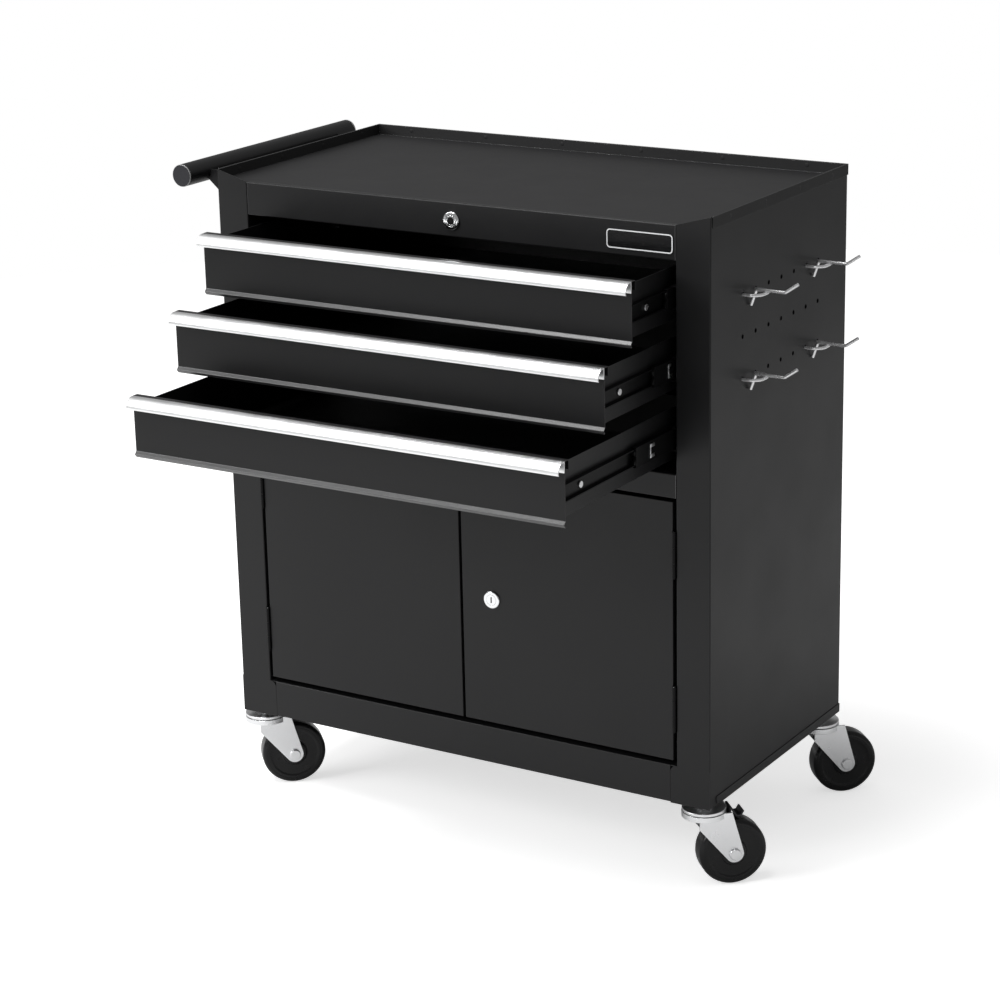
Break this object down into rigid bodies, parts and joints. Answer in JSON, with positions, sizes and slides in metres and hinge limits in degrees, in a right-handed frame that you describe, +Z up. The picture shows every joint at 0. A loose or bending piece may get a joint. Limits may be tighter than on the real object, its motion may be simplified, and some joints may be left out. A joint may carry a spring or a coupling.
{
  "type": "rolling tool chest",
  "caption": "Steel tool chest on swivel casters with a recessed tray top, sliding drawers, a lockable double-door cupboard, a side push bar and pegboard hooks.",
  "frame": {"origin": "on the floor, under the middle of the cabinet", "axes": "+X to the right seen from the front, drawers and doors face -Y, +Z up"},
  "size_m": [0.7326, 0.5935, 0.7384],
  "materials": {
    "black_coat": "satin black powder coat",
    "pull_metal": "bright brushed",
    "zinc": "bright zinc plate",
    "slide_steel": "black electrophoretic coat",
    "chrome": "polished",
    "badge": "gloss black with a pale border",
    "wheel_plastic": "moulded, semi-gloss",
    "brake_black": "black coat",
    "cap_plastic": "moulded, satin",
    "catch_plastic": "moulded, matt"
  },
  "bodies": {
    "cabinet": {"side_panel_left": "black_coat", "side_panel_right": "black_coat", "back_panel": "black_coat", "tray_top": "black_coat", "top_rail": "black_coat", "divider_shelf": "black_coat", "base_pan": "black_coat", "rear_uprights": "black_coat", "slide_outer_members": "slide_steel", "handle_bar": "black_coat", "handle_end_caps": "cap_plastic", "handle_brackets": "black_coat", "handle_bracket_screws": "zinc", "badge_plate": "badge", "drawer_lock_housing": "chrome", "peg_hooks": "zinc", "hinge_frame_leaves": "black_coat", "hinge_pins": "black_coat", "magnetic_catches": "catch_plastic", "caster_stems": "zinc", "caster_nuts": "zinc"},
    "drawer_lock": {"drawer_lock_plug": "chrome", "drawer_lock_rod": "zinc"},
    "lock_bar": {"lock_bar": "zinc"},
    "door_left": {"door_left_panel": "black_coat", "door_left_hinge_leaves": "black_coat"},
    "door_right": {"door_right_panel": "black_coat", "door_right_hinge_leaves": "black_coat", "door_lock_housing": "chrome"},
    "door_lock": {"door_lock_plug": "chrome", "door_lock_cam": "zinc"},
    "drawer_1": {"drawer_1_tub": "black_coat", "drawer_1_pull": "pull_metal", "drawer_1_slide_inner": "slide_steel", "drawer_1_screws": "zinc"},
    "drawer_1_slide": {"drawer_1_slide_middle": "slide_steel"},
    "drawer_2": {"drawer_2_tub": "black_coat", "drawer_2_pull": "pull_metal", "drawer_2_slide_inner": "slide_steel", "drawer_2_screws": "zinc"},
    "drawer_2_slide": {"drawer_2_slide_middle": "slide_steel"},
    "drawer_3": {"drawer_3_tub": "black_coat", "drawer_3_pull": "pull_metal", "drawer_3_slide_inner": "slide_steel", "drawer_3_screws": "zinc"},
    "drawer_3_slide": {"drawer_3_slide_middle": "slide_steel"},
    "caster_front_left": {"caster_front_left_fork": "zinc", "caster_front_left_axle": "zinc"},
    "caster_front_left_wheel": {"caster_front_left_wheel": "wheel_plastic"},
    "caster_front_left_brake": {"caster_front_left_brake": "brake_black"},
    "caster_front_right": {"caster_front_right_fork": "zinc", "caster_front_right_axle": "zinc"},
    "caster_front_right_wheel": {"caster_front_right_wheel": "wheel_plastic"},
    "caster_front_right_brake": {"caster_front_right_brake": "brake_black"},
    "caster_back_left": {"caster_back_left_fork": "zinc", "caster_back_left_axle": "zinc"},
    "caster_back_left_wheel": {"caster_back_left_wheel": "wheel_plastic"},
    "caster_back_right": {"caster_back_right_fork": "zinc", "caster_back_right_axle": "zinc"},
    "caster_back_right_wheel": {"caster_back_right_wheel": "wheel_plastic"}
  },
  "joints": [
    {"name": "drawer_1_travel", "type": "slide", "parent": "cabinet", "child": "drawer_1", "axis": [0, -1, 0], "range_m": [-0.086, 0.194]},
    {"name": "drawer_1_middle_travel", "type": "slide", "parent": "cabinet", "child": "drawer_1_slide", "axis": [0, -1, 0], "range_m": [-0.043, 0.097]},
    {"name": "drawer_2_travel", "type": "slide", "parent": "cabinet", "child": "drawer_2", "axis": [0, -1, 0], "range_m": [-0.142, 0.138]},
    {"name": "drawer_2_middle_travel", "type": "slide", "parent": "cabinet", "child": "drawer_2_slide", "axis": [0, -1, 0], "range_m": [-0.071, 0.069]},
    {"name": "drawer_3_travel", "type": "slide", "parent": "cabinet", "child": "drawer_3", "axis": [0, -1, 0], "range_m": [-0.221, 0.059]},
    {"name": "drawer_3_middle_travel", "type": "slide", "parent": "cabinet", "child": "drawer_3_slide", "axis": [0, -1, 0], "range_m": [-0.1105, 0.0295]},
    {"name": "door_left_hinge", "type": "hinge", "parent": "cabinet", "child": "door_left", "pos_m": [-0.2655, -0.1627, 0.28925], "axis": [0, 0, -1], "range_deg": [0, 110]},
    {"name": "door_right_hinge", "type": "hinge", "parent": "cabinet", "child": "door_right", "pos_m": [0.2655, -0.1627, 0.28925], "axis": [0, 0, 1], "range_deg": [0, 110]},
    {"name": "door_lock_turn", "type": "hinge", "parent": "door_right", "child": "door_lock", "pos_m": [0.0398, -0.1615, 0.2891], "axis": [0, 1, 0], "range_deg": [0, 90]},
    {"name": "drawer_lock_turn", "type": "hinge", "parent": "cabinet", "child": "drawer_lock", "pos_m": [0, -0.1615, 0.7063], "axis": [0, 1, 0], "range_deg": [0, 90]},
    {"name": "lock_bar_travel", "type": "slide", "parent": "cabinet", "child": "lock_bar", "axis": [0, 0, -1], "range_m": [0, 0.01131]},
    {"name": "caster_front_left_swivel", "type": "hinge", "parent": "cabinet", "child": "caster_front_left", "pos_m": [-0.2905, -0.1425, 0.086], "axis": [0, 0, 1], "continuous": true},
    {"name": "caster_front_left_roll", "type": "hinge", "parent": "caster_front_left", "child": "caster_front_left_wheel", "pos_m": [-0.26892, -0.12166, 0.0375], "axis": [0.6947, -0.7193, 0], "continuous": true},
    {"name": "caster_front_left_brake_press", "type": "hinge", "parent": "caster_front_left", "child": "caster_front_left_brake", "pos_m": [-0.28187, -0.13416, 0.0762], "axis": [-0.6947, 0.7193, 0], "range_deg": [0, 5]},
    {"name": "caster_front_right_swivel", "type": "hinge", "parent": "cabinet", "child": "caster_front_right", "pos_m": [0.2905, -0.1425, 0.086], "axis": [0, 0, 1], "continuous": true},
    {"name": "caster_front_right_roll", "type": "hinge", "parent": "caster_front_right", "child": "caster_front_right_wheel", "pos_m": [0.31208, -0.12166, 0.0375], "axis": [0.6947, -0.7193, 0], "continuous": true},
    {"name": "caster_front_right_brake_press", "type": "hinge", "parent": "caster_front_right", "child": "caster_front_right_brake", "pos_m": [0.29913, -0.13416, 0.0762], "axis": [-0.6947, 0.7193, 0], "range_deg": [0, 5]},
    {"name": "caster_back_left_swivel", "type": "hinge", "parent": "cabinet", "child": "caster_back_left", "pos_m": [-0.2905, 0.1425, 0.086], "axis": [0, 0, 1], "continuous": true},
    {"name": "caster_back_left_roll", "type": "hinge", "parent": "caster_back_left", "child": "caster_back_left_wheel", "pos_m": [-0.26892, 0.16334, 0.0375], "axis": [0.6947, -0.7193, 0], "continuous": true},
    {"name": "caster_back_right_swivel", "type": "hinge", "parent": "cabinet", "child": "caster_back_right", "pos_m": [0.2905, 0.1425, 0.086], "axis": [0, 0, 1], "continuous": true},
    {"name": "caster_back_right_roll", "type": "hinge", "parent": "caster_back_right", "child": "caster_back_right_wheel", "pos_m": [0.31208, 0.16334, 0.0375], "axis": [0.6947, -0.7193, 0], "continuous": true}
  ],
  "couplings": [
    {"joint": "drawer_1_middle_travel", "follows": "drawer_1_travel", "ratio": 0.5},
    {"joint": "drawer_2_middle_travel", "follows": "drawer_2_travel", "ratio": 0.5},
    {"joint": "drawer_3_middle_travel", "follows": "drawer_3_travel", "ratio": 0.5},
    {"joint": "drawer_lock_turn", "follows": "lock_bar_travel", "rad_per_m": 138.84}
  ]
}
